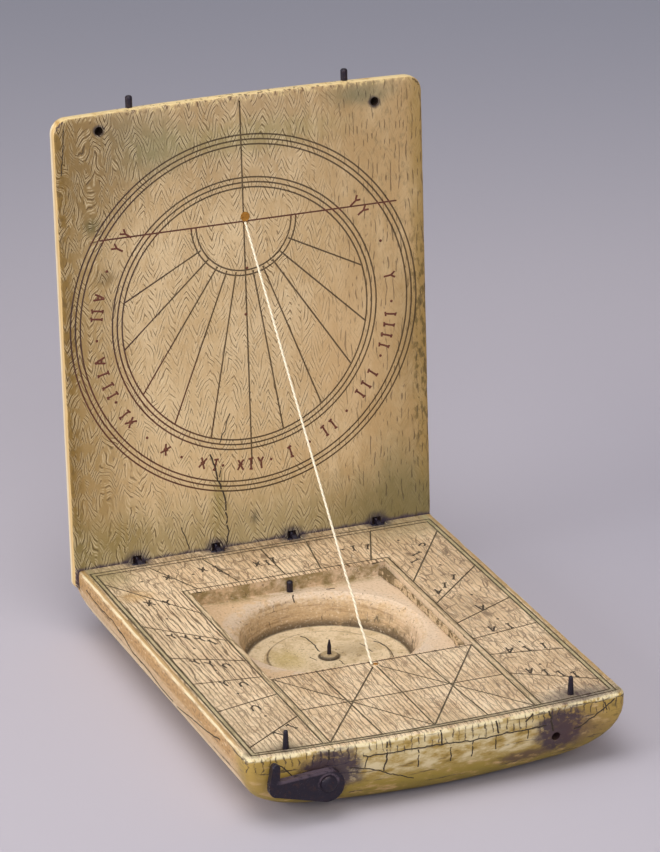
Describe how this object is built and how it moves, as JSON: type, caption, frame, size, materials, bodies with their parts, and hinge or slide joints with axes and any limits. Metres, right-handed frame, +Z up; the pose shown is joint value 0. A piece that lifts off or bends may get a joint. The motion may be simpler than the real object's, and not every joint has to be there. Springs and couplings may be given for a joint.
{
  "type": "diptych sundial",
  "caption": "Pocket diptych sundial: two hinged leaves, string gnomon, recessed compass seat with pivot, locating pins and a hook catch.",
  "frame": {"origin": "middle of the flat underside of the lower leaf", "axes": "+Z up from the underside; +Y from the catch edge to the hinge edge; +X to the right seen from the catch edge"},
  "size_m": [0.065, 0.0896, 0.0916],
  "materials": {
    "ivory": "satin, aged and cracked",
    "iron": "rusted dark",
    "brass": "worn",
    "cement": "rough",
    "string": "matte"
  },
  "bodies": {
    "base": {"base_leaf": "ivory", "pivot_plug": "ivory", "compass_pivot": "iron", "locating_pin_left": "iron", "locating_pin_right": "iron", "hook_rivet": "iron", "string_peg_base": "brass", "recess_stub": "iron", "cement_remains": "cement", "hinge_staple_1": "iron", "hinge_staple_2": "iron", "hinge_staple_3": "iron", "hinge_staple_4": "iron", "gnomon_string": "string"},
    "lid": {"lid_leaf": "ivory", "string_peg_lid": "brass", "catch_pin_left": "iron", "catch_pin_right": "iron", "hinge_eye_1": "iron", "hinge_eye_2": "iron", "hinge_eye_3": "iron", "hinge_eye_4": "iron"},
    "hook": {"catch_hook": "iron"}
  },
  "joints": [
    {"name": "lid_fold", "type": "hinge", "parent": "base", "child": "lid", "pos_m": [0, 0.03805, 0.01155], "axis": [1, 0, 0], "range_deg": [0, 93.8], "deforming": ["gnomon_string"]},
    {"name": "hook_swing", "type": "hinge", "parent": "base", "child": "hook", "pos_m": [-0.0196, -0.0405, 0.00685], "axis": [0, 1, 0], "range_deg": [-30, 74]}
  ]
}
